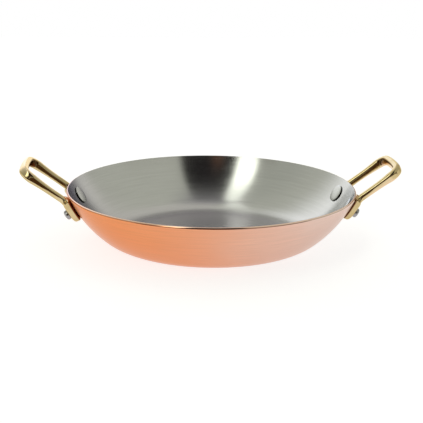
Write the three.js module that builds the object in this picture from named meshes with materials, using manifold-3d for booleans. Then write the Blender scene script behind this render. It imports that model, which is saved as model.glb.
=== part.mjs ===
// Two-handled serving pan: a spun copper shell, a bonded steel lining, two cast loop handles and four rivets.
// Millimetres, +Z up. The origin is the centre of the underside, and the handles point along X.
import * as THREE from 'three';
import { mergeVertices } from 'three/addons/utils/BufferGeometryUtils.js';
import Module from 'manifold-3d';

const wasm = await Module();
wasm.setup();

// Bowl
const RIM_DIAMETER = 240.7;
const PAN_HEIGHT = 45;
const BASE_DIAMETER = 141.2;
const CORNER_RADIUS = 35;
const CORNER_TURN = THREE.MathUtils.degToRad(40.2);
const COPPER_THICKNESS = 1.8;
const LINING_THICKNESS = 0.2;
const RIM_ROUNDING = 1.2;

// Rivets
const RIVET_SPACING = 43;
const RIVET_DROP = 13.2;
const SHANK_DIAMETER = 6;
const INNER_HEAD_DIAMETER = 14.6;
const INNER_HEAD_EDGE = 0.5;
const INNER_HEAD_CROWN = 0.7;
const OUTER_HEAD_DIAMETER = 8;
const OUTER_HEAD_EDGE = 1.8;
const OUTER_HEAD_CROWN = 1.6;
const HOLE_CLEARANCE = 0.3;
const SEAT_GAP = 0.1;

// Handles
const PAD_WIDTH = 18.4;
const PAD_RISE = 12;
const PAD_THICKNESS = 6;
const PAD_PARTING = 2;
const PAD_EDGE = 3.6;
const PAD_CROWN_INSET = 4.8;
const PAD_WALL_BREAK = 1.2;
const PAD_TOP_ROUNDING = 1;
const ARM_ROOT = 2;
const ARM_ROOT_INSET = 0.4;
const ROOT_WIDTH = 12;
const FLARE_START = 2;
const FLARE_END = 12;
const NECK_RISE = 11.4;
const NECK_BEND_RADIUS = 14;
const NECK_WIDTH = 6.4;
const NECK_THICKNESS = 5.6;
const GRIP_WIDTH = 7.4;
const GRIP_THICKNESS = 7.8;
const ARM_SWELL = 3;
const LOOP_REACH = 35.9;
const LOOP_SLOPE = THREE.MathUtils.degToRad(36.4);
const LOOP_CORNER_RADIUS = 8.7;
const LOOP_BOW = THREE.MathUtils.degToRad(5);
const SECTION_POWER = 4;
const CASTING_DRAFT = THREE.MathUtils.degToRad(14);
const NECK_PARTING = 0.5;
const GRIP_PARTING = -0.5;
const INNER_PARTING = -3.6;

// Facets
const BOWL_SIDES = 64;
const CORNER_STEPS = 5;
const WALL_STEPS = 5;
const RIM_STEPS = 5;
const RIVET_SIDES = 20;
const CROWN_STEPS = 3;
const SECTION_SIDES = 16;
const LOOP_STEPS = 40;
const PAD_ARC_STEPS = 4;
const HOLE_LENGTH = 8 * PAD_THICKNESS;

const materials = {
  copper: new THREE.MeshStandardMaterial({ color: 0xdb8a5c, roughness: 0.25, metalness: 1 }),
  steel: new THREE.MeshStandardMaterial({ color: 0xb4b4b0, roughness: 0.4, metalness: 1 }),
  brass: new THREE.MeshStandardMaterial({ color: 0xd9b968, roughness: 0.2, metalness: 1 }),
};

// Solids and meshes

function toSolid(geometry) {
  const bare = new THREE.BufferGeometry();
  bare.setAttribute('position', geometry.getAttribute('position'));
  bare.setIndex(geometry.getIndex());
  const merged = mergeVertices(bare);
  const corners = merged.getIndex().array;
  const triVerts = [];
  for (let i = 0; i < corners.length; i += 3) {
    const [a, b, c] = corners.slice(i, i + 3);
    if (a !== b && b !== c && c !== a) triVerts.push(a, b, c);
  }
  const vertProperties = new Float32Array(merged.getAttribute('position').array);
  return new wasm.Manifold(new wasm.Mesh({ numProp: 3, vertProperties, triVerts: new Uint32Array(triVerts) }));
}

function toGeometry(solid) {
  const { vertProperties, triVerts } = solid.getMesh();
  const geometry = new THREE.BufferGeometry();
  geometry.setAttribute('position', new THREE.BufferAttribute(vertProperties, 3));
  geometry.setIndex(new THREE.BufferAttribute(triVerts, 1));
  geometry.computeVertexNormals();
  return geometry;
}

function addMesh(group, name, geometry, material) {
  const mesh = new THREE.Mesh(geometry, material);
  mesh.name = name;
  group.add(mesh);
  return mesh;
}

// A solid of revolution about Z from (radius, height) points that start and end on the axis.
function revolve(points, sides) {
  return new THREE.LatheGeometry(points, sides).rotateX(Math.PI / 2);
}

// The bowl's wall is two tangent arcs in the (radius, height) plane: the corner, then the flared wall.
// Angles are measured from the horizontal base, and every layer shares the two centres.

const rimRadius = RIM_DIAMETER / 2;
const baseRadius = BASE_DIAMETER / 2;
const wallThickness = COPPER_THICKNESS + LINING_THICKNESS;
const cornerCentre = new THREE.Vector2(baseRadius, CORNER_RADIUS);
const wallStart = arcPoint(cornerCentre, CORNER_RADIUS, CORNER_TURN);
const wallChord = new THREE.Vector2(rimRadius, PAN_HEIGHT).sub(wallStart);
const wallHalfTurn = wallChord.angle() - CORNER_TURN;
const wallRadius = wallChord.length() / (2 * Math.sin(wallHalfTurn));
const wallCentre = new THREE.Vector2(
  wallStart.x - wallRadius * Math.sin(CORNER_TURN),
  wallStart.y + wallRadius * Math.cos(CORNER_TURN),
);

function arcPoint(centre, radius, angle) {
  return new THREE.Vector2(centre.x + radius * Math.sin(angle), centre.y - radius * Math.cos(angle));
}

function arc(centre, radius, from, to, steps) {
  return Array.from({ length: steps + 1 }, (_, i) =>
    arcPoint(centre, radius, THREE.MathUtils.lerp(from, to, i / steps)));
}

// The wall's angle where a layer set in from the outside reaches a height.
function wallAngle(inset, height) {
  return Math.acos((wallCentre.y - height) / (wallRadius - inset));
}

// A layer of the bowl from the axis out to the rim plane.
function layer(inset) {
  const corner = arc(cornerCentre, CORNER_RADIUS - inset, 0, CORNER_TURN, CORNER_STEPS);
  const rimAngle = wallAngle(inset, PAN_HEIGHT);
  const wall = arc(wallCentre, wallRadius - inset, CORNER_TURN, rimAngle, WALL_STEPS);
  return [new THREE.Vector2(0, inset), ...corner, ...wall.slice(1)];
}

// The outside of the copper, with the top edge rounded between the wall and the flat rim.
function outsideLayer() {
  const points = layer(0);
  const edge = points.pop();
  const rimAngle = wallAngle(0, PAN_HEIGHT);
  const wallDirection = new THREE.Vector2(Math.cos(rimAngle), Math.sin(rimAngle));
  const setback = RIM_ROUNDING * Math.tan((Math.PI - rimAngle) / 2);
  const centre = edge.clone().addScaledVector(wallDirection, -setback)
    .add(new THREE.Vector2(-wallDirection.y, wallDirection.x).multiplyScalar(RIM_ROUNDING));
  return [...points, ...arc(centre, RIM_ROUNDING, rimAngle, Math.PI, RIM_STEPS)];
}

// Rivet places: a point on the outside of the wall, with axes across the wall, up the wall and out of it.

const rivetHeight = PAN_HEIGHT - RIVET_DROP;
const rivetWallAngle = wallAngle(0, rivetHeight);
const rivetRadius = arcPoint(wallCentre, wallRadius, rivetWallAngle).x;
const rivetTurn = Math.asin(RIVET_SPACING / 2 / rivetRadius);

function rivetFrame(side, end) {
  const bearing = side > 0 ? end * rivetTurn : Math.PI - end * rivetTurn;
  const radial = new THREE.Vector3(Math.cos(bearing), Math.sin(bearing), 0);
  const rise = new THREE.Vector3(0, 0, 1);
  const up = radial.clone().multiplyScalar(Math.cos(rivetWallAngle)).addScaledVector(rise, Math.sin(rivetWallAngle));
  const out = radial.clone().multiplyScalar(Math.sin(rivetWallAngle)).addScaledVector(rise, -Math.cos(rivetWallAngle));
  const across = new THREE.Vector3().crossVectors(up, out);
  const place = radial.multiplyScalar(rivetRadius).addScaledVector(rise, rivetHeight);
  return new THREE.Matrix4().makeBasis(across, up, out).setPosition(place);
}

const rivetPlaces = [];
for (const [side, sideName] of [[-1, 'left'], [1, 'right']]) {
  for (const [end, endName] of [[-1, 'front'], [1, 'back']]) {
    rivetPlaces.push({ name: `rivet_${sideName}_${endName}`, side, end, frame: rivetFrame(side, end) });
  }
}

// The clearance hole along a rivet's axis.
function rivetHole(frame) {
  const radius = SHANK_DIAMETER / 2 + HOLE_CLEARANCE;
  const hole = new THREE.CylinderGeometry(radius, radius, HOLE_LENGTH, RIVET_SIDES);
  return toSolid(hole.rotateX(Math.PI / 2).applyMatrix4(frame));
}

function drill(solid, places) {
  return places.reduce((drilled, place) => drilled.subtract(rivetHole(place.frame)), solid);
}

function copperShell() {
  const profile = [...outsideLayer(), ...layer(COPPER_THICKNESS).reverse()];
  return toGeometry(drill(toSolid(revolve(profile, BOWL_SIDES)), rivetPlaces));
}

function steelLining() {
  const profile = [...layer(COPPER_THICKNESS), ...layer(wallThickness).reverse()];
  return toGeometry(drill(toSolid(revolve(profile, BOWL_SIDES)), rivetPlaces));
}

// A rivet stands on the outside of the wall, with its axis along Z: the flat head inside, the button outside.
// The inner head clears the hollow of the wall behind it, and the facets that stand proud of that hollow.

function crown(radius, base, height) {
  return Array.from({ length: CROWN_STEPS + 1 }, (_, i) => {
    const angle = (Math.PI / 2) * (i / CROWN_STEPS);
    return new THREE.Vector2(radius * Math.cos(angle), base + height * Math.sin(angle));
  });
}

function rivet() {
  const innerRadius = INNER_HEAD_DIAMETER / 2;
  const shankRadius = SHANK_DIAMETER / 2;
  const hollow = innerRadius ** 2 / (2 * (wallRadius - wallThickness));
  const sideFacet = rimRadius * (1 - Math.cos(Math.PI / BOWL_SIDES));
  const wallFacet = wallRadius * (1 - Math.cos(wallHalfTurn / WALL_STEPS));
  const innerSeat = -(wallThickness + hollow + sideFacet + wallFacet + SEAT_GAP);
  const outerSeat = PAD_THICKNESS + 2 * SEAT_GAP;
  const innerCrown = crown(innerRadius, innerSeat - INNER_HEAD_EDGE, -INNER_HEAD_CROWN).reverse();
  const outerCrown = crown(OUTER_HEAD_DIAMETER / 2, outerSeat + OUTER_HEAD_EDGE, OUTER_HEAD_CROWN);
  const profile = [
    ...innerCrown,
    new THREE.Vector2(innerRadius, innerSeat),
    new THREE.Vector2(shankRadius, innerSeat),
    new THREE.Vector2(shankRadius, outerSeat),
    new THREE.Vector2(OUTER_HEAD_DIAMETER / 2, outerSeat),
    ...outerCrown,
  ];
  return toGeometry(toSolid(revolve(profile, RIVET_SIDES)));
}

// A path of straight runs whose inner corners are rounded.
function roundedPath(corners, radii) {
  const path = new THREE.CurvePath();
  let runStart = corners[0];
  radii.forEach((radius, i) => {
    const [before, corner, after] = corners.slice(i, i + 3);
    const into = corner.clone().sub(before).normalize();
    const onward = after.clone().sub(corner).normalize();
    const turn = into.angleTo(onward);
    const setback = radius * Math.tan(turn / 2);
    const pull = radius * (4 / 3) * Math.tan(turn / 4);
    const arcStart = corner.clone().addScaledVector(into, -setback);
    const arcEnd = corner.clone().addScaledVector(onward, setback);
    const pulls = [arcStart.clone().addScaledVector(into, pull), arcEnd.clone().addScaledVector(onward, -pull)];
    path.add(new THREE.LineCurve3(runStart, arcStart));
    path.add(new THREE.CubicBezierCurve3(arcStart, ...pulls, arcEnd));
    runStart = arcEnd;
  });
  path.add(new THREE.LineCurve3(runStart, corners.at(-1)));
  return path;
}

// A closed skin over rings that all have the same number of points.
function loft(rings) {
  const sides = rings[0].length;
  const centre = (ring) => ring.reduce((sum, p) => sum.add(p), new THREE.Vector3()).divideScalar(sides);
  const points = [...rings.flat(), centre(rings[0]), centre(rings.at(-1))];
  const [first, last] = [points.length - 2, points.length - 1];
  const base = (rings.length - 1) * sides;
  const index = [];
  for (let side = 0; side < sides; side += 1) {
    const next = (side + 1) % sides;
    for (let row = 0; row < base; row += sides) {
      index.push(row + side, row + next, row + sides + side);
      index.push(row + next, row + sides + next, row + sides + side);
    }
    index.push(first, next, side, last, base + side, base + next);
  }
  return toSolid(new THREE.BufferGeometry().setFromPoints(points).setIndex(index));
}

// A handle's foot: a tongue that lies flat against the wall, round about the rivet and square above it.
// Its sides draw in both ways from the casting's parting line, under a low crown.
function padOutline(inset) {
  const half = PAD_WIDTH / 2 - inset;
  const side = half - PAD_TOP_ROUNDING;
  const top = PAD_RISE - inset - PAD_TOP_ROUNDING;
  const outline = new THREE.Path();
  outline.absarc(side, top, PAD_TOP_ROUNDING, 0, Math.PI / 2);
  outline.absarc(-side, top, PAD_TOP_ROUNDING, Math.PI / 2, Math.PI);
  outline.absarc(0, 0, half, Math.PI, 2 * Math.PI);
  return outline.getPoints(PAD_ARC_STEPS);
}

function footPad(frame) {
  const draft = Math.tan(CASTING_DRAFT);
  const crownReach = PAD_CROWN_INSET - draft * (PAD_EDGE - PAD_PARTING);
  const top = crown(crownReach, PAD_EDGE, PAD_THICKNESS - PAD_EDGE);
  const profile = [
    new THREE.Vector2(draft * PAD_PARTING + PAD_WALL_BREAK, 0),
    new THREE.Vector2(draft * (PAD_PARTING - PAD_WALL_BREAK), PAD_WALL_BREAK),
    new THREE.Vector2(0, PAD_PARTING),
    ...top.map((p) => new THREE.Vector2(PAD_CROWN_INSET - p.x, p.y)),
  ];
  return loft(profile.map(({ x: inset, y: height }) =>
    padOutline(inset).map((p) => new THREE.Vector3(p.x, p.y, SEAT_GAP + height).applyMatrix4(frame))));
}

// A handle's arm has a rounded oblong section, a superellipse whose sides draw in from their parting lines.
// X points into the loop. The outer side parts near mid height, and the opening parts low, so it widens upwards.
function sectionPoint(angle, width, thickness, outerParting) {
  const round = (value) => Math.sign(value) * Math.abs(value) ** (2 / SECTION_POWER);
  const x = (width / 2) * round(Math.cos(angle));
  const y = (thickness / 2) * round(Math.sin(angle));
  const parting = x > 0 ? INNER_PARTING : outerParting;
  const drawnIn = Math.tan(CASTING_DRAFT) * Math.abs(y - parting);
  return [x * (1 - drawnIn / (width / 2)), y];
}

function section(width, thickness, outerParting) {
  return Array.from({ length: SECTION_SIDES }, (_, side) =>
    sectionPoint((2 * Math.PI * side) / SECTION_SIDES, width, thickness, outerParting));
}

// How far the grip's section reaches along X, past the middle of the section.
function gripReach() {
  const [along, over] = [Math.cos(LOOP_SLOPE), Math.sin(LOOP_SLOPE)];
  return Math.max(...section(GRIP_WIDTH, GRIP_THICKNESS, GRIP_PARTING).map(([x, y]) => -x * along - y * over));
}

// The loop leaves the two pads at its necks, runs up and out as two arms, and closes in a slightly bowed grip.
function handleLoop(frames) {
  const loopOut = new THREE.Vector3(Math.cos(LOOP_SLOPE), 0, Math.sin(LOOP_SLOPE));
  const loopUp = new THREE.Vector3(-Math.sin(LOOP_SLOPE), 0, Math.cos(LOOP_SLOPE));
  const padMiddle = SEAT_GAP + PAD_THICKNESS / 2;
  const [frontRoot, backRoot] = frames.map((f) => new THREE.Vector3(0, ARM_ROOT, padMiddle).applyMatrix4(f));
  const [frontNeck, backNeck] = frames.map((f) => new THREE.Vector3(0, NECK_RISE, padMiddle).applyMatrix4(f));
  const neckHalf = backNeck.y;

  const gripHalf = neckHalf / Math.cos(LOOP_BOW) - LOOP_CORNER_RADIUS * Math.tan(Math.PI / 4 - LOOP_BOW / 2);
  const bowRadius = gripHalf / Math.tan(LOOP_BOW);
  const bowPeak = bowRadius * (1 / Math.cos(LOOP_BOW) - 1);
  const gripMiddle = rimRadius + LOOP_REACH - gripReach();
  const peakRun = (gripMiddle - backNeck.x) / Math.cos(LOOP_SLOPE) + bowPeak;
  const armRun = peakRun - neckHalf * Math.tan(LOOP_BOW);
  const frontCorner = frontNeck.clone().addScaledVector(loopOut, armRun);
  const backCorner = backNeck.clone().addScaledVector(loopOut, armRun);
  const peak = new THREE.Vector3(backNeck.x, 0, backNeck.z).addScaledVector(loopOut, peakRun);

  const path = roundedPath(
    [frontRoot, frontNeck, frontCorner, peak, backCorner, backNeck, backRoot],
    [NECK_BEND_RADIUS, LOOP_CORNER_RADIUS, bowRadius, LOOP_CORNER_RADIUS, NECK_BEND_RADIUS],
  );
  const [, neckEnd, armEnd] = path.getCurveLengths();
  const total = path.getLength();
  const rootThickness = PAD_THICKNESS - 2 * ARM_ROOT_INSET;

  const rings = Array.from({ length: LOOP_STEPS + 1 }, (_, step) => {
    const share = step / LOOP_STEPS;
    const point = path.getPoint(share);
    const direction = path.getTangent(share);
    const fromEnd = total * Math.min(share, 1 - share);
    const bent = THREE.MathUtils.clamp(fromEnd / neckEnd, 0, 1);
    const alongArm = THREE.MathUtils.clamp((fromEnd - neckEnd) / (armEnd - neckEnd), 0, 1);
    const swell = alongArm ** ARM_SWELL;
    const flare = 1 - THREE.MathUtils.smoothstep(fromEnd, FLARE_START, FLARE_END);
    const armWidth = THREE.MathUtils.lerp(NECK_WIDTH, GRIP_WIDTH, swell);
    const width = armWidth + (ROOT_WIDTH - NECK_WIDTH) * flare;
    const neckThickness = THREE.MathUtils.lerp(rootThickness, NECK_THICKNESS, bent);
    const thickness = THREE.MathUtils.lerp(neckThickness, GRIP_THICKNESS, swell);
    const parting = THREE.MathUtils.lerp(NECK_PARTING, GRIP_PARTING, alongArm);
    const padUp = new THREE.Vector3().setFromMatrixColumn(frames[share < 0.5 ? 0 : 1], 2).negate();
    const up = padUp.lerp(loopUp, bent);
    up.addScaledVector(direction, -up.dot(direction)).normalize();
    const across = new THREE.Vector3().crossVectors(up, direction);
    return section(width, thickness, parting).map(([x, y]) =>
      point.clone().addScaledVector(across, x).addScaledVector(up, y));
  });
  return loft(rings);
}

// One casting serves both sides: the left handle is the right one turned half round.
function handle() {
  const places = rivetPlaces.filter((place) => place.side > 0);
  const frames = places.map((place) => place.frame);
  const casting = frames.map(footPad).reduce((solid, pad) => solid.add(pad), handleLoop(frames));
  return toGeometry(drill(casting, places));
}

const pan = new THREE.Group();
addMesh(pan, 'copper_shell', copperShell(), materials.copper);
addMesh(pan, 'steel_lining', steelLining(), materials.steel);

const handleGeometry = handle();
addMesh(pan, 'right_handle', handleGeometry, materials.brass);
addMesh(pan, 'left_handle', handleGeometry, materials.brass).rotation.z = Math.PI;

const rivetGeometry = rivet();
for (const { name, frame } of rivetPlaces) {
  addMesh(pan, name, rivetGeometry, materials.steel).applyMatrix4(frame);
}

export default pan;
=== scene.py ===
"""Looks of a two-handled copper serving pan: fine metal pieces, their finishes, studio light and camera.

Metres, +Z up. The origin is the centre of the underside, and the handles point along X.
"""
import math

import bmesh
import bpy
from mathutils import Matrix, Vector


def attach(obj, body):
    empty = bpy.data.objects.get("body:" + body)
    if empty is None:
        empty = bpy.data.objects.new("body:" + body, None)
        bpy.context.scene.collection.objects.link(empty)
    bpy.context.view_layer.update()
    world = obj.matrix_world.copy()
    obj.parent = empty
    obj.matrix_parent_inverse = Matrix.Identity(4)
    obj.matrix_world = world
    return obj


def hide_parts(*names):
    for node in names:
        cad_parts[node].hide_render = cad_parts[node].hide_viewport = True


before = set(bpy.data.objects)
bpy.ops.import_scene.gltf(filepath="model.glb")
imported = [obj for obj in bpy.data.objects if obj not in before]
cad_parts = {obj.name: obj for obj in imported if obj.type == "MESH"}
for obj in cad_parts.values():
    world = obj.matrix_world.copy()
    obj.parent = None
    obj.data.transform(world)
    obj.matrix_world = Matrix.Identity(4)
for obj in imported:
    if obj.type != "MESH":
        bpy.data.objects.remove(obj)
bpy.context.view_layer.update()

MM = 0.001
BODY = "root"

# Bowl
RIM_RADIUS = 120.35 * MM
PAN_HEIGHT = 45 * MM
BASE_RADIUS = 70.6 * MM
CORNER_RADIUS = 35 * MM
CORNER_TURN = math.radians(40.2)
COPPER_THICKNESS = 1.8 * MM
WALL_THICKNESS = 2.0 * MM
RIM_ROUNDING = 1.4 * MM
LINING_ROUNDING = 0.08 * MM

# Rivets
RIVET_SPACING = 43 * MM
RIVET_DROP = 13.2 * MM
SHANK_RADIUS = 3 * MM
INNER_HEAD_RADIUS = 7.3 * MM
INNER_HEAD_EDGE = 0.5 * MM
INNER_HEAD_CROWN = 0.7 * MM
INNER_SEAT = 2.6 * MM
OUTER_HEAD_RADIUS = 4 * MM
OUTER_HEAD_EDGE = 1.8 * MM
OUTER_HEAD_CROWN = 1.6 * MM
HEAD_ROUNDING = 0.25 * MM
SEAT_GAP = 0.1 * MM

# Handles. Front and back are those of the right casting, and the left one is the same turned half round
PAD_WIDTH = 18.4 * MM
PAD_RISE = 12 * MM
PAD_THICKNESS = 6 * MM
PAD_PARTING = 2 * MM
PAD_EDGE = 3.6 * MM
PAD_CROWN_INSET = 4.8 * MM
PAD_WALL_BREAK = 1.2 * MM
PAD_TOP_ROUNDING = 1 * MM
ARM_ROOT = 2 * MM
ARM_ROOT_INSET = 0.4 * MM
ROOT_WIDTH = 12 * MM
FLARE_START = 2 * MM
FLARE_END = 12 * MM
NECK_RISE = 11.4 * MM
NECK_BEND_RADIUS = 14 * MM
NECK_WIDTH = 6.4 * MM
NECK_THICKNESS = 5.6 * MM
GRIP_WIDTH = 7.4 * MM
GRIP_THICKNESS = 7.62 * MM
ARM_SWELL = 3
LOOP_REACH = 35.86 * MM
LOOP_SLOPE = math.radians(36.32)
LOOP_CORNER_RADIUS = 8.7 * MM
LOOP_BOW = math.radians(5)
SECTION_POWER = 4.0
CASTING_DRAFT = math.tan(math.radians(14))
OUTER_DRAFT = math.tan(math.radians(11))
FRONT_NECK_PARTING = -0.3 * MM
BACK_NECK_PARTING = 0.5 * MM
FRONT_GRIP_PARTING = 1.4 * MM
BACK_GRIP_PARTING = -1.6 * MM
INNER_PARTING = -3.6 * MM
INNER_BOW = 0.5

# Mesh fineness. The axis gaps keep the ends of a profile off the axis, in parts of a ring or a step
BOWL_SIDES = 288
CORNER_STEPS = 24
WALL_STEPS = 48
FLOOR_RINGS = 40
FLOOR_AXIS_GAP = 0.05
RIM_STEPS = 12
RIVET_SIDES = 72
CROWN_STEPS = 12
CROWN_AXIS_GAP = 0.5
EDGE_STEPS = 4
SECTION_SIDES = 64
LOOP_SPACING = 0.6 * MM
PAD_ARC_STEPS = 20
CASTING_VOXEL = 0.26 * MM
CASTING_SMOOTHING = 5
CASTING_SMOOTH_SHARE = 0.5

# Noise: its middle range, which most finishes use, and two others
NOISE_RANGE = (0.3, 0.7)
WIDE_NOISE_RANGE = (0.25, 0.75)
NARROW_NOISE_RANGE = (0.32, 0.68)
SOFT_DETAIL = 2.0
SHARP_DETAIL = 3.0

# Copper. Marks are scales of noise: round the axis first, then along the profile
COPPER_EDGE_TINT = (0.9, 0.8, 0.75, 1)
# The copper colour runs from saturated warm on the left to pale on the right: painted reflection colour.
COPPER_WARM_PAINTED_REFLECTION = (0.825, 0.305, 0.12, 1)
COPPER_PALE_PAINTED_REFLECTION = (0.75, 0.615, 0.565, 1)
# The rim colours are paler than the wall: a painted highlight along the rim.
RIM_WARM_PAINTED_HIGHLIGHT = (0.88, 0.62, 0.51, 1)
RIM_PALE_PAINTED_HIGHLIGHT = (1.0, 0.79, 0.69, 1)
REFLECTION_TINT_ACROSS = (-95 * MM, 150 * MM)
REFLECTION_TINT_DRIFT = 60 * MM
CLOUD_SCALE = 14.0
RIM_HIGHLIGHT_HEIGHTS = (PAN_HEIGHT - 0.75 * MM, PAN_HEIGHT - 0.35 * MM)
RIM_POLISH_HEIGHTS = (PAN_HEIGHT - 1.6 * MM, PAN_HEIGHT - 1.2 * MM)
RIM_ROUGHNESS = 0.1
COPPER_ROUGHNESS = (0.17, 0.26)
COPPER_STREAKS = (0.95, 1.03)
COPPER_MARKS = (3.0, 900.0)
COPPER_BUMP = 0.05
COPPER_BUMP_DEPTH = 0.2 * MM

# Lining
LINING_DULL = (0.605, 0.60, 0.595, 1)
LINING_BRIGHT = (0.655, 0.65, 0.645, 1)
# The lining's glancing reflection is darkened and tinted on the left wall and on the floor: painted shade.
LEFT_WALL_PAINTED_SHADE = (0.5, 0.49, 0.56, 1)
RIGHT_WALL_TINT = (1, 1, 1, 1)
LINING_FLOOR_PAINTED_SHADE = (0.87, 0.845, 0.91, 1)
WALL_SHADE_ACROSS = (-90 * MM, 90 * MM)
WALL_SHADE_HEIGHTS = (8 * MM, 24 * MM)
LINING_ANISOTROPY = 0.8
LINING_GRAIN_TURN = 0.25
LINING_ROUGHNESS = (0.18, 0.23)
FINE_MARKS = (4.0, 2600.0)
FINE_MARKS_SHARE = 0.6
BROAD_MARKS = (2.0, 420.0)
LINING_BUMP = 0.08
LINING_BUMP_DEPTH = 0.05 * MM

# Brass. Facings are parts of the surface normal: up, or away from the pan's axis
BRASS_EDGE_TINT = (0.97, 0.88, 0.72, 1)
BRASS_DULL = (0.57, 0.44, 0.22, 1)
BRASS_BRIGHT = (0.66, 0.53, 0.30, 1)
# Dark brown in the seam between the pads and the wall: painted shade.
SEAM_PAINTED_SHADE = (0.15, 0.055, 0.022, 1)
SEAM_GAPS = (1.7 * MM, 2.5 * MM)
SEAM_HEIGHTS = (PAN_HEIGHT - 7 * MM, PAN_HEIGHT - 2 * MM)
# Dark inner faces of the grip: painted shade.
GRIP_INSIDE_PAINTED_SHADE = (0.16, 0.085, 0.035, 1)
GRIP_INSIDE_OUTWARD = (-0.6, -0.35)
GRIP_INSIDE_UPWARD = (0.3, 0.55)
GRIP_INSIDE_RADII = (129 * MM, 135 * MM)
# Paler top faces on the left handle and paler undersides on the right handle: painted highlights.
TOP_PAINTED_HIGHLIGHT = (0.84, 0.67, 0.46, 1)
TOP_HIGHLIGHT_UPWARD = (0.45, 0.75)
UNDERSIDE_PAINTED_HIGHLIGHT = (0.8, 0.6, 0.4, 1)
UNDERSIDE_HIGHLIGHT_UPWARD = (-0.3, -0.05)
HIGHLIGHT_RADII = (126 * MM, 131 * MM)
HANDLE_SIDES = (-10 * MM, 10 * MM)
CAST_SCALE = 90.0
POLISH_SCALE = 700.0
BRASS_ROUGHNESS = (0.07, 0.15)
BRASS_BUMP = 0.06
BRASS_BUMP_DEPTH = 0.3 * MM

# Rivet steel
RIVET_DULL = (0.58, 0.58, 0.57, 1)
RIVET_BRIGHT = (0.69, 0.69, 0.67, 1)
# Darker outer heads: painted shade.
OUTER_HEAD_PAINTED_SHADE = (0.38, 0.37, 0.38, 1)
# Dark ring round the foot of each inner head: painted shade.
RING_PAINTED_SHADE = (0.1, 0.1, 0.105, 1)
RING_RADII = (6.4 * MM, 7.0 * MM)
RING_DEPTHS = (-INNER_SEAT - 0.35 * MM, -INNER_SEAT + 1 * MM)
RING_SOFT = 0.15 * MM
GRAIN_SCALE = 1400.0
RIVET_ROUGHNESS = (0.24, 0.34)
RIVET_BUMP = 0.08
RIVET_BUMP_DEPTH = 0.1 * MM

# Floor: its left, right, front and back edges, how far it lies under the pan, its own glow and its grey
FLOOR_EDGES = (-1.2, 1.2, -0.34, 1.6)
FLOOR_DROP = 0.05 * MM
FLOOR_GLOW = 0.78
FLOOR_GREY = (0.45, 0.45, 0.45, 1)
WHITE = (1, 1, 1, 1)

# Studio light. Bearings run from the front round to the right, and heights go up from the level. Leans tip
# the upright that a bearing turns about to the back. All of these are in degrees. Acrosses and backs are the
# X and Y of a direction.
ROOM_LIGHT = (0.55, 0.565, 0.489, 1)
LEFT_WALL_LIGHT = (0.466, 0.484, 0.418, 1)
LEFT_WALL_BEARINGS = (-98, -40)
LEFT_WALL_SOFT = 18
RIGHT_WALL_LIGHT = (0.654, 0.645, 0.589, 1)
RIGHT_WALL_BEARINGS = (110, 150)
RIGHT_BACK_LIGHT = (0.79, 0.785, 0.72, 1)
RIGHT_BACK_BEARINGS = (127, 144)
RIGHT_BACK_SOFT = 9
RIGHT_BACK_HEIGHTS = (14, 34)
BEHIND_LIGHT = (0.53, 0.52, 0.49, 1)
BEHIND_BEARINGS = (138, 150)
BEHIND_HEIGHTS = (20, 36)
ZENITH_LIGHT = (0.33, 0.325, 0.325, 1)
ZENITH_HEIGHTS = (64, 84)
LEFT_BACK_LIGHT = (1.29, 1.31, 1.28, 1)
LEFT_BACK_BEARINGS = (-162, -112)
LEFT_BACK_HEIGHTS = (31, 63)
LEFT_BACK_DIM_BEARINGS = (-182, -158)
LEFT_BACK_DIM = 0.3
LOW_BACK_HEIGHTS = (18, 30)
LOW_RIGHT_LIGHT = (1.11, 1.13, 1.03, 1)
LOW_RIGHT_BEARINGS = (157, 165)
LOW_LEFT_LIGHT = (1.34, 1.46, 1.8, 1)
LOW_LEFT_BEARINGS = (-166, -158)
BESIDE_LIGHT = (0.92, 0.92, 0.88, 1)
BESIDE_BEARINGS = (60, 108)
BESIDE_SOFT = 6
BESIDE_HEIGHTS = (5, 14)
DARK_LIGHT = (0.075, 0.036, 0.014, 1)
DARK_BEARINGS = (-62, 75)
DARK_SOFT = 6
DARK_HEIGHTS = (14, 19)
DARK_LEFT_BEARINGS = (-62, -14)
DARK_LEFT_SOFT = 5
DARK_LEFT_HEIGHTS = (22, 27)
GAP_LIGHT = (0.010, 0.009, 0.010, 1)
GAP_LEAN = 18.5
GAP_BEARINGS = (-23.5, 22)
GAP_SOFT = 3
GAP_HEIGHTS = (18, 24)
GAP_BACKS = (-0.42, 0.14)
GLINT_LIGHT = (0.11, 0.052, 0.03, 1)
GLINT_BEARINGS = (-13, -4)
GLINT_SOFT = 3
GLINT_HEIGHTS = (26, 44)
GLINT_HEIGHT_SOFT = 6
STRIP_FRONT_LIGHT = (2.57, 2.67, 2.33, 1)
STRIP_TOP_LIGHT = (1.48, 1.54, 1.36, 1)
STRIP_LIGHT_BACKS = (-0.45, -0.2)
STRIP_NEAR_LEAN = 7
STRIP_NEAR_BEARINGS = (-29.6, -25.8)
STRIP_FAR_LEAN = 15
STRIP_FAR_BEARINGS = (-44.6, -40.8)
STRIP_HEIGHTS = (26, 33)
STRIP_BACKS = (-0.05, 0.15)
STRIP_ACROSSES = (-0.19, -0.09)
TAIL_LIGHT = (1.12, 1.15, 1.04, 1)
TAIL_SLANT = 0.276
TAIL_ACROSSES = (-0.275, -0.155)
TAIL_SOFT = 0.03
TAIL_START_BACKS = (-0.1, 0.3)
TAIL_END_BACKS = (0.3, 0.82)

# Camera, fitted to the rim, the base and the floor edge in the photograph
PHOTO_PIXELS = 423
SENSOR_WIDTH = 36.0
FOCAL_PIXELS = 1004.3
AIM = Vector((0, 0, PAN_HEIGHT))
AIM_PIXEL_X = 211.4
AIM_PIXEL_Y = 186.6
CAMERA_DISTANCE = 0.8356
CAMERA_ELEVATION = math.radians(14.38)
CAMERA_AZIMUTH = math.radians(-4.1)
CAMERA_ROLL = math.radians(0.70)
NEAREST_SEEN = 0.01

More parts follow.
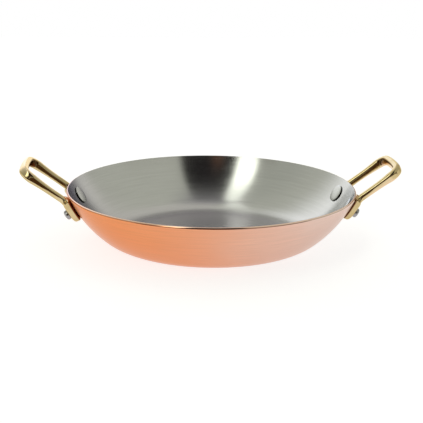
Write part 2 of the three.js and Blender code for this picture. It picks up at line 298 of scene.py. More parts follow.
# Sockets of Blender's mix node, which have the same names for numbers and colours
MIX_SHARE = 0
MIX_FIRST_COLOUR = 6
MIX_SECOND_COLOUR = 7
MIXED_COLOUR = 2


# Number helpers

def between(low, high, share):
    return low + (high - low) * share


def smooth_share(value, start, end):
    """A smooth step from nothing at start to one at end."""
    share = min(max((value - start) / (end - start), 0), 1)
    return share ** 2 * (3 - 2 * share)


# The bowl's profile: two tangent arcs in the (radius, height) plane, shared by every layer

def arc_point(centre, radius, angle):
    return Vector((centre.x + radius * math.sin(angle), centre.y - radius * math.cos(angle)))


def arc(centre, radius, start, end, steps):
    return [arc_point(centre, radius, start + (end - start) * step / steps) for step in range(steps + 1)]


corner_centre = Vector((BASE_RADIUS, CORNER_RADIUS))
wall_start = arc_point(corner_centre, CORNER_RADIUS, CORNER_TURN)
wall_chord = Vector((RIM_RADIUS, PAN_HEIGHT)) - wall_start
wall_half_turn = math.atan2(wall_chord.y, wall_chord.x) - CORNER_TURN
wall_radius = wall_chord.length / (2 * math.sin(wall_half_turn))
wall_centre = wall_start + wall_radius * Vector((-math.sin(CORNER_TURN), math.cos(CORNER_TURN)))


def wall_angle(inset, height):
    """How far round the wall's arc a height is, on a layer set in from the outside."""
    return math.acos((wall_centre.y - height) / (wall_radius - inset))


def off_wall(point):
    """How far a point stands off the outside of the wall."""
    return (Vector((point.xy.length, point.z)) - wall_centre).length - wall_radius


# Rivets stand on the outside of the wall, with their axis along Z of a frame there

rivet_height = PAN_HEIGHT - RIVET_DROP
rivet_wall_angle = wall_angle(0, rivet_height)
rivet_circle = arc_point(wall_centre, wall_radius, rivet_wall_angle).x
rivet_turn = math.asin(RIVET_SPACING / 2 / rivet_circle)


def rivet_frame(side, end):
    """The place of a rivet, with axes across the wall, up the wall and out of it."""
    bearing = end * rivet_turn if side > 0 else math.pi - end * rivet_turn
    radial = Vector((math.cos(bearing), math.sin(bearing), 0))
    rise = Vector((0, 0, 1))
    up = radial * math.cos(rivet_wall_angle) + rise * math.sin(rivet_wall_angle)
    out = radial * math.sin(rivet_wall_angle) - rise * math.cos(rivet_wall_angle)
    across = up.cross(out)
    place = radial * rivet_circle + rise * rivet_height
    return Matrix.Translation(place) @ Matrix((across, up, out)).transposed().to_4x4()


# Node helpers

def fill(tree, socket, value):
    """Links an input to another node's output, or sets it to a plain value."""
    if isinstance(value, bpy.types.NodeSocket):
        tree.links.new(value, socket)
    else:
        socket.default_value = value


def wire(tree, kind, inputs=None, output=0, **settings):
    """Adds a shader node, sets or links its inputs, and gives back one of its outputs."""
    made = tree.nodes.new("ShaderNode" + kind)
    for key, value in settings.items():
        setattr(made, key, value)
    for key, value in (inputs or {}).items():
        fill(tree, made.inputs[key], value)
    return made.outputs[output]


def close_tree(tree, kind, surface):
    """Links a finished shader to the output node."""
    output = tree.nodes.new("ShaderNode" + kind)
    tree.links.new(surface, output.inputs["Surface"])


def maths(tree, operation, *values):
    return wire(tree, "Math", dict(enumerate(values)), operation=operation)


def product(tree, first, *others):
    """Several numbers multiplied together."""
    result = first
    for other in others:
        result = maths(tree, "MULTIPLY", result, other)
    return result


def axes(tree, vector):
    """The three numbers of a vector."""
    return wire(tree, "SeparateXYZ", {"Vector": vector}).node.outputs


def length(tree, x, y):
    """The length of a flat vector."""
    return maths(tree, "SQRT", maths(tree, "ADD", product(tree, x, x), product(tree, y, y)))


def fade(tree, value, start, end, low=0.0, high=1.0):
    """A smooth step from low at start to high at end."""
    limits = {"Value": value, "From Min": start, "From Max": end, "To Min": low, "To Max": high}
    return wire(tree, "MapRange", limits, interpolation_type="SMOOTHSTEP")


def fall(tree, value, start, end):
    """A smooth step from one at start to nothing at end."""
    return fade(tree, value, start, end, 1.0, 0.0)


def window(tree, value, low, high, soft):
    """One between low and high, and nothing outside, with soft edges."""
    past_low = fade(tree, value, low - soft, low + soft)
    short_of_high = fall(tree, value, high - soft, high + soft)
    return product(tree, past_low, short_of_high)


def blend(tree, share, first, second):
    """A colour between two others."""
    made = tree.nodes.new("ShaderNodeMix")
    made.data_type = "RGBA"
    fill(tree, made.inputs[MIX_SHARE], share)
    fill(tree, made.inputs[MIX_FIRST_COLOUR], first)
    fill(tree, made.inputs[MIX_SECOND_COLOUR], second)
    return made.outputs[MIXED_COLOUR]


def noise(tree, place, scale, detail=SOFT_DETAIL):
    return wire(tree, "TexNoise", {"Vector": place, "Scale": scale, "Detail": detail})


def spun_noise(tree, around, along, detail=SOFT_DETAIL):
    """Noise that runs round the pan's axis: slow round the axis, fast along the profile."""
    x, y, z = axes(tree, wire(tree, "TexCoord", output="Object"))
    radius = length(tree, x, y)
    turn_x = product(tree, maths(tree, "DIVIDE", x, radius), around)
    turn_y = product(tree, maths(tree, "DIVIDE", y, radius), around)
    profile = product(tree, maths(tree, "ADD", radius, z), along)
    return noise(tree, wire(tree, "CombineXYZ", {"X": turn_x, "Y": turn_y, "Z": profile}), 1.0, detail)


def metal(name, settings):
    """A bare metal material, its node tree and its principled shader."""
    material = bpy.data.materials.new(name)
    material.use_nodes = True
    shader = material.node_tree.nodes["Principled BSDF"]
    shader.inputs["Metallic"].default_value = 1.0
    for key, value in settings.items():
        shader.inputs[key].default_value = value
    return material, material.node_tree, shader


def dress(tree, shader, tone, roughness, height, bump, depth):
    """Links a metal's colour, its roughness and its fine relief."""
    tree.links.new(tone, shader.inputs["Base Color"])
    tree.links.new(roughness, shader.inputs["Roughness"])
    relief = wire(tree, "Bump", {"Strength": bump, "Distance": depth, "Height": height})
    tree.links.new(relief, shader.inputs["Normal"])


# Materials

def copper_material():
    """Polished copper with faint spin marks, smooth at the rim. Its colour runs from warm on the left to pale
    on the right, a painted reflection, and the rim is paler, a painted highlight.
    """
    material, tree, shader = metal("copper", {"Specular Tint": COPPER_EDGE_TINT})
    place = wire(tree, "TexCoord", output="Object")
    across, _, z = axes(tree, place)
    # Warm on the left to pale on the right across X: painted reflection colour.
    cloud = noise(tree, place, CLOUD_SCALE)
    drift = maths(tree, "MULTIPLY_ADD", cloud, REFLECTION_TINT_DRIFT, -REFLECTION_TINT_DRIFT / 2)
    pale_side = fade(tree, maths(tree, "ADD", across, drift), *REFLECTION_TINT_ACROSS)
    painted_wall_tone = blend(tree, pale_side, COPPER_WARM_PAINTED_REFLECTION, COPPER_PALE_PAINTED_REFLECTION)
    # Paler colour on the rim: painted highlight.
    painted_rim_highlight = blend(tree, pale_side, RIM_WARM_PAINTED_HIGHLIGHT, RIM_PALE_PAINTED_HIGHLIGHT)
    tone = blend(tree, fade(tree, z, *RIM_HIGHLIGHT_HEIGHTS), painted_wall_tone, painted_rim_highlight)
    spun = spun_noise(tree, *COPPER_MARKS, SHARP_DETAIL)
    streaks = fade(tree, spun, *NOISE_RANGE, *COPPER_STREAKS)
    streaked = wire(tree, "VectorMath", {0: tone, "Scale": streaks}, operation="SCALE")
    wall_roughness = fade(tree, spun, *WIDE_NOISE_RANGE, *COPPER_ROUGHNESS)
    roughness = fade(tree, z, *RIM_POLISH_HEIGHTS, wall_roughness, RIM_ROUGHNESS)
    dress(tree, shader, streaked, roughness, spun, COPPER_BUMP, COPPER_BUMP_DEPTH)
    return material


def lining_material():
    """Brushed stainless steel with marks that run round the bowl. Its glancing reflection is darker and bluer
    on the left wall and darker and purplish on the floor: painted shade.
    """
    brushing = {"Anisotropic": LINING_ANISOTROPY, "Anisotropic Rotation": LINING_GRAIN_TURN}
    material, tree, shader = metal("lining_steel", brushing)
    across, _, z = axes(tree, wire(tree, "TexCoord", output="Object"))
    # Darker glancing reflection on the left wall and on the floor: painted shade.
    wall_shade = blend(tree, fade(tree, across, *WALL_SHADE_ACROSS), LEFT_WALL_PAINTED_SHADE, RIGHT_WALL_TINT)
    painted_edge_shade = blend(tree, fade(tree, z, *WALL_SHADE_HEIGHTS), LINING_FLOOR_PAINTED_SHADE, wall_shade)
    tree.links.new(painted_edge_shade, shader.inputs["Specular Tint"])
    tangent = wire(tree, "Tangent", direction_type="RADIAL", axis="Z")
    tree.links.new(tangent, shader.inputs["Tangent"])
    fine = spun_noise(tree, *FINE_MARKS)
    broad = spun_noise(tree, *BROAD_MARKS)
    broad_part = product(tree, broad, 1 - FINE_MARKS_SHARE)
    marks = maths(tree, "MULTIPLY_ADD", fine, FINE_MARKS_SHARE, broad_part)
    tone = blend(tree, fade(tree, marks, *NARROW_NOISE_RANGE), LINING_DULL, LINING_BRIGHT)
    roughness = fade(tree, marks, *NOISE_RANGE, *LINING_ROUGHNESS)
    dress(tree, shader, tone, roughness, fine, LINING_BUMP, LINING_BUMP_DEPTH)
    return material


def brass_material():
    """Polished cast brass, with painted shade in the seam behind the pads and inside the grip, and painted
    highlights on the left handle's top faces and the right handle's undersides.
    """
    material, tree, shader = metal("handle_brass", {"Specular Tint": BRASS_EDGE_TINT})
    place = wire(tree, "TexCoord", output="Object")
    x, y, z = axes(tree, place)
    radius = length(tree, x, y)
    cast = noise(tree, place, CAST_SCALE, SHARP_DETAIL)
    tone = blend(tree, fade(tree, cast, *NOISE_RANGE), BRASS_DULL, BRASS_BRIGHT)

    # Painted shade in the seam between each pad and the wall.
    past_centre = maths(tree, "SUBTRACT", radius, wall_centre.x)
    above_centre = maths(tree, "SUBTRACT", z, wall_centre.y)
    wall_gap = maths(tree, "SUBTRACT", length(tree, past_centre, above_centre), wall_radius)
    seam_shade = product(tree, fall(tree, wall_gap, *SEAM_GAPS), fall(tree, z, *SEAM_HEIGHTS))
    tone = blend(tree, seam_shade, tone, SEAM_PAINTED_SHADE)

    # Painted shade on the inner faces of the grip.
    facing_x, facing_y, upward = axes(tree, wire(tree, "TexCoord", output="Normal"))
    along_radius = maths(tree, "MULTIPLY_ADD", facing_x, x, product(tree, facing_y, y))
    outward = maths(tree, "DIVIDE", along_radius, radius)
    inside = product(tree, fall(tree, outward, *GRIP_INSIDE_OUTWARD), fall(tree, upward, *GRIP_INSIDE_UPWARD),
                     fade(tree, radius, *GRIP_INSIDE_RADII))
    tone = blend(tree, inside, tone, GRIP_INSIDE_PAINTED_SHADE)

    # Painted highlights on the left handle's top faces and the right handle's undersides.
    on_loop = fade(tree, radius, *HIGHLIGHT_RADII)
    painted_top_highlight = product(tree, fade(tree, upward, *TOP_HIGHLIGHT_UPWARD), fall(tree, x, *HANDLE_SIDES), on_loop)
    tone = blend(tree, painted_top_highlight, tone, TOP_PAINTED_HIGHLIGHT)
    painted_underside_highlight = product(tree, fall(tree, upward, *UNDERSIDE_HIGHLIGHT_UPWARD),
                               fade(tree, x, *HANDLE_SIDES), on_loop)
    tone = blend(tree, painted_underside_highlight, tone, UNDERSIDE_PAINTED_HIGHLIGHT)

    polish = noise(tree, place, POLISH_SCALE)
    roughness = fade(tree, polish, *NOISE_RANGE, *BRASS_ROUGHNESS)
    dress(tree, shader, tone, roughness, cast, BRASS_BUMP, BRASS_BUMP_DEPTH)
    return material


def rivet_material():
    """Satin steel, finely tumbled, with painted shade in a ring round the foot of the inner heads and over
    the outer heads.
    """
    material, tree, shader = metal("rivet_steel", {})
    place = wire(tree, "TexCoord", output="Object")
    grain = noise(tree, place, GRAIN_SCALE)
    tone = blend(tree, fade(tree, grain, *NOISE_RANGE), RIVET_DULL, RIVET_BRIGHT)
    # Painted shade in a ring round the foot of each inner head.
    rivet_place = rivet_frame(1, 1)
    axis = rivet_place.col[2].to_3d()
    mirrored = wire(tree, "VectorMath", {0: place}, operation="ABSOLUTE")
    from_place = wire(tree, "VectorMath", {0: mirrored, 1: rivet_place.translation}, operation="SUBTRACT")
    depth = wire(tree, "VectorMath", {0: from_place, 1: axis}, output="Value", operation="DOT_PRODUCT")
    from_axis = wire(tree, "VectorMath", {0: from_place, 1: axis}, operation="CROSS_PRODUCT")
    spread = wire(tree, "VectorMath", {0: from_axis}, output="Value", operation="LENGTH")
    ring = product(tree, fade(tree, spread, *RING_RADII), window(tree, depth, *RING_DEPTHS, RING_SOFT))
    tone = blend(tree, ring, tone, RING_PAINTED_SHADE)
    # Painted shade over the outer heads.
    tone = blend(tree, fade(tree, depth, 0.0, PAD_THICKNESS), tone, OUTER_HEAD_PAINTED_SHADE)
    roughness = fade(tree, grain, *NOISE_RANGE, *RIVET_ROUGHNESS)
    dress(tree, shader, tone, roughness, grain, RIVET_BUMP, RIVET_BUMP_DEPTH)
    return material


# Meshes

def finish_piece(name, points, faces, material, nodes):
    """A smooth shaded piece that stands for CAD nodes and rides on the body."""
    mesh = bpy.data.meshes.new(name)
    mesh.from_pydata(points, [], faces)
    shell = bmesh.new()
    shell.from_mesh(mesh)
    bmesh.ops.recalc_face_normals(shell, faces=shell.faces)
    shell.to_mesh(mesh)
    shell.free()
    mesh.materials.append(material)
    piece = bpy.data.objects.new(name, mesh)
    bpy.context.scene.collection.objects.link(piece)
    for polygon in mesh.polygons:
        polygon.use_smooth = True
    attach(piece, BODY)
    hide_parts(*nodes)
    return piece


def skin(rings):
    """Points and faces over rings of equal size, with a point closing each end."""
    sides = len(rings[0])
    points = [point for ring in rings for point in ring]
    faces = []
    for row in range(len(rings) - 1):
        for side in range(sides):
            following = (side + 1) % sides
            low, high = row * sides, (row + 1) * sides
            faces.append((low + side, low + following, high + following, high + side))
    for ring, base, order in ((rings[0], 0, -1), (rings[-1], (len(rings) - 1) * sides, 1)):
        points.append(sum((Vector(p) for p in ring), Vector()) / sides)
        tip = len(points) - 1
        for side in range(sides):
            corners = (base + side, base + (side + 1) % sides, tip)
            faces.append(corners[::order])
    return points, faces


def revolve(profile, sides):
    """Rings of a profile of (radius, height) points turned about Z. The profile's ends lie near the axis."""
    rings = []
    for radius, height in profile:
        turns = (2 * math.pi * side / sides for side in range(sides))
        rings.append([Vector((radius * math.cos(a), radius * math.sin(a), height)) for a in turns])
    return rings


# Bowl

def layer(inset):
    """A layer of the bowl, from close to the axis out to the rim plane."""
    ring_width = BASE_RADIUS / FLOOR_RINGS
    flat = [Vector((ring_width * (ring + FLOOR_AXIS_GAP), inset)) for ring in range(FLOOR_RINGS)]
    corner = arc(corner_centre, CORNER_RADIUS - inset, 0, CORNER_TURN, CORNER_STEPS)
    rim_angle = wall_angle(inset, PAN_HEIGHT)
    wall = arc(wall_centre, wall_radius - inset, CORNER_TURN, rim_angle, WALL_STEPS)
    return flat + corner + wall[1:]


def round_off(points, following, radius):
    """Rounds the last of some profile points towards a following point."""
    edge = points.pop()
    into = (edge - points[-1]).normalized()
    onward = (following - edge).normalized()
    turn = into.angle(onward)
    side = 1 if into.x * onward.y - into.y * onward.x > 0 else -1
    setback = radius * math.tan(turn / 2)
    while (edge - points[-1]).length < setback:
        points.pop()
    start = edge - into * setback
    normal = Vector((-into.y, into.x)) * side
    for step in range(RIM_STEPS + 1):
        angle = turn * step / RIM_STEPS
        points.append(start + into * radius * math.sin(angle) + normal * radius * (1 - math.cos(angle)))
    return points


def copper_shell(material):
    """The copper body, rounded at the outside of its cut rim."""
    inside = layer(COPPER_THICKNESS)
    profile = round_off(layer(0), inside[-1], RIM_ROUNDING) + inside[::-1]
    points, faces = skin(revolve(profile, BOWL_SIDES))
    finish_piece("copper_body", points, faces, material, ["copper_shell"])


def steel_lining(material):
    """The thin steel layer inside the copper."""
    outside = layer(COPPER_THICKNESS)
    profile = round_off(layer(WALL_THICKNESS), outside[-1], LINING_ROUNDING) + outside[::-1]
    points, faces = skin(revolve(profile, BOWL_SIDES))
    finish_piece("brushed_lining", points, faces, material, ["steel_lining"])


# Rivets

def crown(radius, base, height):
    """A quarter of a flattened dome, from its edge up to near the axis."""
    last_step = CROWN_STEPS + CROWN_AXIS_GAP
    angles = [math.pi / 2 * step / last_step for step in range(CROWN_STEPS + 1)]
    return [Vector((radius * math.cos(a), base + height * math.sin(a))) for a in angles]


def head_edge(radius, seat, base):
    """The rounded corner between a head's seat and its side."""
    direction = 1 if base > seat else -1
    centre = Vector((radius - HEAD_ROUNDING, seat + direction * HEAD_ROUNDING))
    angles = [math.pi / 2 * step / EDGE_STEPS for step in range(EDGE_STEPS + 1)]
    return [centre + HEAD_ROUNDING * Vector((math.sin(a), -direction * math.cos(a))) for a in angles]


def rivet(name, place, material):
    """A wide low head inside, a shank through the wall and the pad, and a small domed head outside."""
    outer_seat = PAD_THICKNESS + 2 * SEAT_GAP
    inner_top = -INNER_SEAT - INNER_HEAD_EDGE
    outer_top = outer_seat + OUTER_HEAD_EDGE
    profile = crown(INNER_HEAD_RADIUS, inner_top, -INNER_HEAD_CROWN)[::-1]
    profile += head_edge(INNER_HEAD_RADIUS, -INNER_SEAT, inner_top)[::-1]
    profile += [Vector((SHANK_RADIUS, -INNER_SEAT)), Vector((SHANK_RADIUS, outer_seat))]
    profile += head_edge(OUTER_HEAD_RADIUS, outer_seat, outer_top)
    profile += crown(OUTER_HEAD_RADIUS, outer_top, OUTER_HEAD_CROWN)
    rings = [[place @ point for point in ring] for ring in revolve(profile, RIVET_SIDES)]
    points, faces = skin(rings)
    finish_piece(f"{name}_steel", points, faces, material, [name])


# Handles

def pad_outline(inset):
    """A tongue, round about the rivet and square above it, set in from the pad's widest line."""
    half = PAD_WIDTH / 2 - inset
    side = half - PAD_TOP_ROUNDING
    top = PAD_RISE - inset - PAD_TOP_ROUNDING
    turns = [math.pi / 2 * step / PAD_ARC_STEPS for step in range(PAD_ARC_STEPS + 1)]
    right = [Vector((side, top)) + PAD_TOP_ROUNDING * Vector((math.cos(a), math.sin(a))) for a in turns]
    left = [Vector((-point.x, point.y)) for point in right[::-1]]
    foot_turns = [math.pi + math.pi * step / (2 * PAD_ARC_STEPS) for step in range(2 * PAD_ARC_STEPS + 1)]
    foot = [half * Vector((math.cos(a), math.sin(a))) for a in foot_turns]
    return right + left + foot


def foot_pad(place):
    """A pad against the wall: its sides draw in both ways from the parting line, under a low crown."""
    edge_inset = CASTING_DRAFT * (PAD_EDGE - PAD_PARTING)
    profile = [(CASTING_DRAFT * PAD_PARTING + PAD_WALL_BREAK, 0)]
    profile += [(CASTING_DRAFT * (PAD_PARTING - PAD_WALL_BREAK), PAD_WALL_BREAK), (0, PAD_PARTING)]
    top = crown(PAD_CROWN_INSET - edge_inset, PAD_EDGE, PAD_THICKNESS - PAD_EDGE)
    profile += [(PAD_CROWN_INSET - point.x, point.y) for point in top]
    out = place.col[2].to_3d()
    rings = []
    for inset, height in profile:
        ring = [place @ Vector((p.x, p.y, SEAT_GAP + height)) for p in pad_outline(inset)]
        settled = smooth_share(height, PAD_THICKNESS, 0)
        rings.append([point - out * settled * (off_wall(point) - SEAT_GAP - height) for point in ring])
    return skin(rings)


def rounded_path(corners, radii):
    """Evenly spaced points along straight runs with rounded corners, and the way to each corner's ends."""
    points = [corners[0]]
    marks = []
    travelled = 0.0

    def run(target):
        start = points[-1]
        steps = max(1, round((target - start).length / LOOP_SPACING))
        points.extend(start.lerp(target, step / steps) for step in range(1, steps + 1))

    for before, corner, after, radius in zip(corners, corners[1:], corners[2:], radii):
        into = (corner - before).normalized()
        onward = (after - corner).normalized()
        turn = into.angle(onward)
        inward = (onward - into * math.cos(turn)).normalized()
        start = corner - into * radius * math.tan(turn / 2)
        travelled += (start - points[-1]).length
        marks.append(travelled)
        run(start)
        steps = max(2, round(radius * turn / LOOP_SPACING))
        for step in range(1, steps + 1):
            angle = turn * step / steps
            points.append(start + into * radius * math.sin(angle) + inward * radius * (1 - math.cos(angle)))
        travelled += radius * turn
        marks.append(travelled)
    run(corners[-1])
    return points, marks


def section_point(angle, width, thickness, outer_parting):
    """A rounded oblong whose sides draw in from their parting lines. X points into the loop."""
    power = 2 / SECTION_POWER
    x = math.copysign(abs(math.cos(angle)) ** power, math.cos(angle)) * width / 2
    y = math.copysign(abs(math.sin(angle)) ** power, math.sin(angle)) * thickness / 2
    if x > 0:
        from_parting = abs(y - INNER_PARTING)
        draft = CASTING_DRAFT * between(1 - INNER_BOW, 1, from_parting / thickness)
    else:
        from_parting = abs(y - outer_parting)
        draft = OUTER_DRAFT
    return x * (1 - draft * from_parting / (width / 2)), y


def section(width, thickness, outer_parting):
    turns = (2 * math.pi * side / SECTION_SIDES for side in range(SECTION_SIDES))
    return [section_point(turn, width, thickness, outer_parting) for turn in turns]


def grip_reach():
    """How far the grip's section reaches along X, past the middle of the section."""
    middle_parting = (FRONT_GRIP_PARTING + BACK_GRIP_PARTING) / 2
    corners = section(GRIP_WIDTH, GRIP_THICKNESS, middle_parting)
    return max(-x * math.cos(LOOP_SLOPE) - y * math.sin(LOOP_SLOPE) for x, y in corners)


def loop_path(places):
    """The middle line of the loop, and the way along it to the ends of the neck and of the arm."""
    loop_out = Vector((math.cos(LOOP_SLOPE), 0, math.sin(LOOP_SLOPE)))
    pad_middle = SEAT_GAP + PAD_THICKNESS / 2
    front_root, back_root = (place @ Vector((0, ARM_ROOT, pad_middle)) for place in places)
    front_neck, back_neck = (place @ Vector((0, NECK_RISE, pad_middle)) for place in places)
    neck_half = back_neck.y
    grip_half = neck_half / math.cos(LOOP_BOW) - LOOP_CORNER_RADIUS * math.tan(math.pi / 4 - LOOP_BOW / 2)
    bow_radius = grip_half / math.tan(LOOP_BOW)
    bow_peak = bow_radius * (1 / math.cos(LOOP_BOW) - 1)
    grip_middle = RIM_RADIUS + LOOP_REACH - grip_reach()
    peak_run = (grip_middle - back_neck.x) / math.cos(LOOP_SLOPE) + bow_peak
    arm_run = peak_run - neck_half * math.tan(LOOP_BOW)
    front_corner = front_neck + loop_out * arm_run
    back_corner = back_neck + loop_out * arm_run
    peak = Vector((back_neck.x, 0, back_neck.z)) + loop_out * peak_run
    corners = [front_root, front_neck, front_corner, peak, back_corner, back_neck, back_root]
    radii = [NECK_BEND_RADIUS, LOOP_CORNER_RADIUS, bow_radius, LOOP_CORNER_RADIUS, NECK_BEND_RADIUS]
    points, (_, neck_end, arm_end, *_) = rounded_path(corners, radii)
    return points, neck_end, arm_end


def handle_loop(places):
    """Two arms that leave the pads at their necks, run up and out, and close in a slightly bowed grip."""
    points, neck_end, arm_end = loop_path(places)
    loop_up = Vector((-math.sin(LOOP_SLOPE), 0, math.cos(LOOP_SLOPE)))
    root_thickness = PAD_THICKNESS - 2 * ARM_ROOT_INSET
    lengths = [0.0]
    for last, point in zip(points, points[1:]):
        lengths.append(lengths[-1] + (point - last).length)
    rings = []
    for index, point in enumerate(points):
        ahead = points[min(index + 1, len(points) - 1)]
        behind = points[max(index - 1, 0)]
        direction = (ahead - behind).normalized()
        front = index < len(points) / 2
        from_end = min(lengths[index], lengths[-1] - lengths[index])
        bent = min(from_end / neck_end, 1)
        along_arm = min(max((from_end - neck_end) / (arm_end - neck_end), 0), 1)
        across_grip = smooth_share(lengths[index], arm_end, lengths[-1] - arm_end)

        swell = along_arm ** ARM_SWELL
        flare = 1 - smooth_share(from_end, FLARE_START, FLARE_END)
        width = between(NECK_WIDTH, GRIP_WIDTH, swell) + (ROOT_WIDTH - NECK_WIDTH) * flare
        thickness = between(between(root_thickness, NECK_THICKNESS, bent), GRIP_THICKNESS, swell)
        neck_parting = FRONT_NECK_PARTING if front else BACK_NECK_PARTING
        grip_parting = between(FRONT_GRIP_PARTING, BACK_GRIP_PARTING, across_grip)
        parting = between(neck_parting, grip_parting, along_arm)

        place = places[0] if front else places[1]
        pad_up = -place.col[2].to_3d()
        up = pad_up.lerp(loop_up, bent)
        up = (up - direction * up.dot(direction)).normalized()
        across = up.cross(direction)
        rings.append([point + across * x + up * y for x, y in section(width, thickness, parting)])
    return skin(rings)


def casting(name, node, turn, material):
    """One handle: its loop and pads run together as one casting, with soft fillets where they meet."""
    places = [rivet_frame(1, end) for end in (-1, 1)]
    points, faces = handle_loop(places)
    for place in places:
        pad_points, pad_faces = foot_pad(place)
        offset = len(points)
        points += pad_points
        faces += [tuple(corner + offset for corner in face) for face in pad_faces]
    rotation = Matrix.Rotation(turn, 4, "Z")
    piece = finish_piece(name, [rotation @ p for p in points], faces, material, [node])
    remesh = piece.modifiers.new("casting", "REMESH")
    remesh.mode = "VOXEL"
    remesh.voxel_size = CASTING_VOXEL
    remesh.use_smooth_shade = True
    smooth = piece.modifiers.new("fillets", "SMOOTH")
    smooth.factor = CASTING_SMOOTH_SHARE
    smooth.iterations = CASTING_SMOOTHING
    bpy.context.view_layer.update()
    ready = piece.evaluated_get(bpy.context.evaluated_depsgraph_get())
    cast_mesh = bpy.data.meshes.new_from_object(ready)
    piece.modifiers.clear()
    piece.data = cast_mesh


# Studio

def build_floor():
    """A plain white floor that keeps a soft contact shadow."""
    left, right, front, back = FLOOR_EDGES
    corners = [(left, front, 0), (right, front, 0), (right, back, 0), (left, back, 0)]
    mesh = bpy.data.meshes.new("floor")
    mesh.from_pydata(corners, [], [(0, 1, 2, 3)])
    material = bpy.data.materials.new("floor_white")
    material.use_nodes = True
    tree = material.node_tree
    tree.nodes.clear()
    path = tree.nodes.new("ShaderNodeLightPath")
    shown = maths(tree, "MAXIMUM", path.outputs["Is Camera Ray"], path.outputs["Is Glossy Ray"])
    shown = maths(tree, "MAXIMUM", shown, path.outputs["Is Transmission Ray"])
    glow = wire(tree, "Emission", {"Color": WHITE, "Strength": product(tree, shown, FLOOR_GLOW)})
    matt = wire(tree, "BsdfDiffuse", {"Color": FLOOR_GREY})
    close_tree(tree, "OutputMaterial", wire(tree, "AddShader", {0: glow, 1: matt}))
    mesh.materials.append(material)
    floor = bpy.data.objects.new("floor", mesh)
    floor.location.z = -FLOOR_DROP
    bpy.context.scene.collection.objects.link(floor)


class Sky:
    """The direction of a ray of studio light, as node outputs, and shares between limits in degrees."""

    def __init__(self, tree):
        self.tree = tree
        self.across, self.back, self.up = axes(tree, wire(tree, "TexCoord", output="Generated"))
        self.bearing = maths(tree, "ARCTAN2", self.across, product(tree, self.back, -1.0))
        self.height = maths(tree, "ARCSINE", self.up)

    def leaning_bearing(self, lean):
        """The bearing about an upright that leans to the back."""
        lean = math.radians(lean)
        risen = product(self.tree, self.up, math.sin(lean))
        forward = maths(self.tree, "SUBTRACT", risen, product(self.tree, self.back, math.cos(lean)))
        return maths(self.tree, "ARCTAN2", self.across, forward)

    def past(self, angle, start, end, low=0.0):
        """From low at the start up to one at the end."""
        return fade(self.tree, angle, math.radians(start), math.radians(end), low)

    def short_of(self, angle, start, end):
        return fall(self.tree, angle, math.radians(start), math.radians(end))

    def within(self, angle, low, high, soft):
        return window(self.tree, angle, math.radians(low), math.radians(high), math.radians(soft))


def add_room(sky):
    """The colour of the walls and of the soft light above."""
    tree = sky.tree
    left_wall = sky.within(sky.bearing, *LEFT_WALL_BEARINGS, LEFT_WALL_SOFT)
    colour = blend(tree, left_wall, ROOM_LIGHT, LEFT_WALL_LIGHT)
    colour = blend(tree, sky.past(sky.bearing, *RIGHT_WALL_BEARINGS), colour, RIGHT_WALL_LIGHT)
    right_back = product(tree, sky.within(sky.bearing, *RIGHT_BACK_BEARINGS, RIGHT_BACK_SOFT),
                         sky.short_of(sky.height, *RIGHT_BACK_HEIGHTS))
    colour = blend(tree, right_back, colour, RIGHT_BACK_LIGHT)
    behind = product(tree, sky.past(sky.bearing, *BEHIND_BEARINGS), sky.short_of(sky.height, *BEHIND_HEIGHTS))
    colour = blend(tree, behind, colour, BEHIND_LIGHT)
    return blend(tree, sky.past(sky.height, *ZENITH_HEIGHTS), colour, ZENITH_LIGHT)


def add_back_light(sky, colour):
    """Brighter light at the left back, low behind the pan and low on both sides of it."""
    tree = sky.tree
    left_back = product(tree, sky.short_of(sky.bearing, *LEFT_BACK_BEARINGS),
                        sky.short_of(sky.height, *LEFT_BACK_HEIGHTS),
                        sky.past(sky.bearing, *LEFT_BACK_DIM_BEARINGS, LEFT_BACK_DIM))
    colour = blend(tree, left_back, colour, LEFT_BACK_LIGHT)
    low_back = sky.short_of(sky.height, *LOW_BACK_HEIGHTS)
    low_right = product(tree, sky.past(sky.bearing, *LOW_RIGHT_BEARINGS), low_back)
    colour = blend(tree, low_right, colour, LOW_RIGHT_LIGHT)
    low_left = product(tree, sky.short_of(sky.bearing, *LOW_LEFT_BEARINGS), low_back)
    colour = blend(tree, low_left, colour, LOW_LEFT_LIGHT)
    from_front = maths(tree, "ABSOLUTE", sky.bearing)
    beside = product(tree, sky.within(from_front, *BESIDE_BEARINGS, BESIDE_SOFT),
                     sky.short_of(sky.height, *BESIDE_HEIGHTS))
    return blend(tree, beside, colour, BESIDE_LIGHT)


def add_dark_front(sky, colour):
    """The dark room low round the camera, and the dark gap over it with a warm glint."""
    tree = sky.tree
    dark = product(tree, sky.within(sky.bearing, *DARK_BEARINGS, DARK_SOFT),
                   sky.short_of(sky.height, *DARK_HEIGHTS))
    dark_left = product(tree, sky.within(sky.bearing, *DARK_LEFT_BEARINGS, DARK_LEFT_SOFT),
                        sky.short_of(sky.height, *DARK_LEFT_HEIGHTS))
    colour = blend(tree, maths(tree, "MAXIMUM", dark, dark_left), colour, DARK_LIGHT)
    overhead = sky.leaning_bearing(GAP_LEAN)
    gap = product(tree, sky.within(overhead, *GAP_BEARINGS, GAP_SOFT), sky.past(sky.height, *GAP_HEIGHTS),
                  fall(tree, sky.back, *GAP_BACKS))
    colour = blend(tree, gap, colour, GAP_LIGHT)
    glint = product(tree, sky.within(overhead, *GLINT_BEARINGS, GLINT_SOFT),
                    sky.within(sky.height, *GLINT_HEIGHTS, GLINT_HEIGHT_SOFT))
    return blend(tree, glint, colour, GLINT_LIGHT)


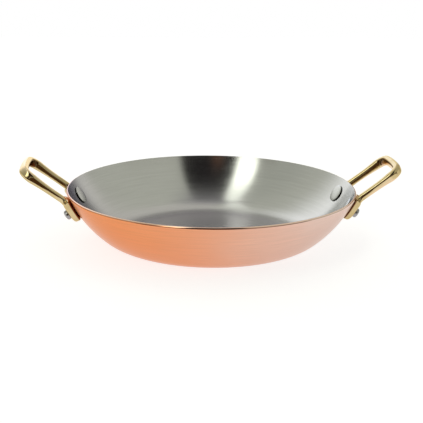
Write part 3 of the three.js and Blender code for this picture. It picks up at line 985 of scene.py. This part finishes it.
def add_strip(sky, colour):
    """The strip light beside the gap, and its dimmer tail that runs on over the pan."""
    tree = sky.tree
    near_edge = sky.short_of(sky.leaning_bearing(STRIP_NEAR_LEAN), *STRIP_NEAR_BEARINGS)
    far_edge = sky.past(sky.leaning_bearing(STRIP_FAR_LEAN), *STRIP_FAR_BEARINGS)
    strip = product(tree, near_edge, far_edge, sky.past(sky.height, *STRIP_HEIGHTS),
                    fall(tree, sky.back, *STRIP_BACKS), fall(tree, sky.across, *STRIP_ACROSSES))
    glow = blend(tree, fade(tree, sky.back, *STRIP_LIGHT_BACKS), STRIP_FRONT_LIGHT, STRIP_TOP_LIGHT)
    colour = blend(tree, strip, colour, glow)
    beside_tail = maths(tree, "MULTIPLY_ADD", sky.back, -TAIL_SLANT, sky.across)
    tail = product(tree, window(tree, beside_tail, *TAIL_ACROSSES, TAIL_SOFT),
                   fade(tree, sky.back, *TAIL_START_BACKS), fall(tree, sky.back, *TAIL_END_BACKS))
    return blend(tree, tail, colour, TAIL_LIGHT)


def build_world():
    """A pale studio, dark round and over the camera, with one strip light. The camera sees plain white."""
    world = bpy.data.worlds.new("studio")
    bpy.context.scene.world = world
    world.use_nodes = True
    tree = world.node_tree
    tree.nodes.clear()
    sky = Sky(tree)
    colour = add_room(sky)
    colour = add_back_light(sky, colour)
    colour = add_dark_front(sky, colour)
    colour = add_strip(sky, colour)
    path = tree.nodes.new("ShaderNodeLightPath")
    colour = blend(tree, path.outputs["Is Camera Ray"], colour, WHITE)
    close_tree(tree, "OutputWorld", wire(tree, "Background", {"Color": colour, "Strength": 1.0}))


def build_camera():
    """The photograph's camera: a little to the left of the middle, looking down into the pan."""
    level = math.cos(CAMERA_ELEVATION)
    back = Vector((math.sin(CAMERA_AZIMUTH) * level, -math.cos(CAMERA_AZIMUTH) * level, 0))
    back.z = math.sin(CAMERA_ELEVATION)
    right = Vector((math.cos(CAMERA_AZIMUTH), math.sin(CAMERA_AZIMUTH), 0))
    up = back.cross(right)
    rolled_right = right * math.cos(CAMERA_ROLL) + up * math.sin(CAMERA_ROLL)
    rolled_up = up * math.cos(CAMERA_ROLL) - right * math.sin(CAMERA_ROLL)
    data = bpy.data.cameras.new("camera")
    data.sensor_width = SENSOR_WIDTH
    data.lens = FOCAL_PIXELS * SENSOR_WIDTH / PHOTO_PIXELS
    data.shift_x = (PHOTO_PIXELS / 2 - AIM_PIXEL_X) / PHOTO_PIXELS
    data.shift_y = (AIM_PIXEL_Y - PHOTO_PIXELS / 2) / PHOTO_PIXELS
    data.clip_start = NEAREST_SEEN
    camera = bpy.data.objects.new("camera", data)
    turned = Matrix((rolled_right, rolled_up, back)).transposed().to_4x4()
    camera.matrix_world = Matrix.Translation(AIM + back * CAMERA_DISTANCE) @ turned
    bpy.context.scene.collection.objects.link(camera)
    bpy.context.scene.camera = camera


copper_shell(copper_material())
steel_lining(lining_material())
brass = brass_material()
casting("right_handle_cast", "right_handle", 0, brass)
casting("left_handle_cast", "left_handle", math.pi, brass)
rivet_steel = rivet_material()
for side, side_name in ((-1, "left"), (1, "right")):
    for end, end_name in ((-1, "front"), (1, "back")):
        rivet(f"rivet_{side_name}_{end_name}", rivet_frame(side, end), rivet_steel)

build_floor()
build_world()
build_camera()
bpy.context.scene.view_settings.view_transform = "Standard"
